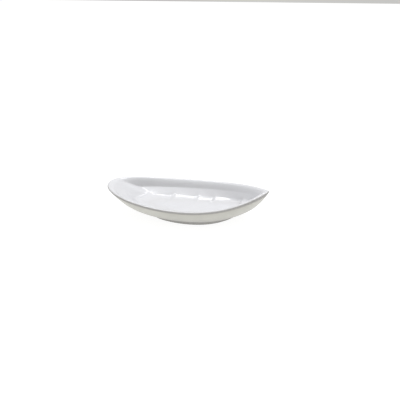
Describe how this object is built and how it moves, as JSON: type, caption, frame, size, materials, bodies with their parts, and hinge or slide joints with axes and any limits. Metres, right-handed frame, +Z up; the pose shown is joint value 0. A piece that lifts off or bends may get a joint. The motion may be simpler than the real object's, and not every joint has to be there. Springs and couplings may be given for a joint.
{
  "type": "leaf-shaped dish",
  "caption": "Shallow leaf-shaped glazed ceramic dish, rounded at one end and pointed at the other, with swept-up ends and a low foot ring.",
  "frame": {"origin": "on the ground under the middle of the dish's length and width", "axes": "+X along the dish from its rounded base end to its pointed tip, +Z up, +Y across to one long side"},
  "size_m": [0.24, 0.115, 0.0446],
  "materials": {
    "fired_clay": "fired clay, matt, bare in a thin line below the lip and on the bottom of the foot ring",
    "white_glaze": "glossy cool white glaze",
    "grey_glaze": "satin warm grey glaze"
  },
  "bodies": {
    "root": {"dish_body": "fired_clay", "inner_glaze": "white_glaze", "outer_glaze": "grey_glaze", "foot_well_glaze": "grey_glaze"}
  },
  "joints": []
}
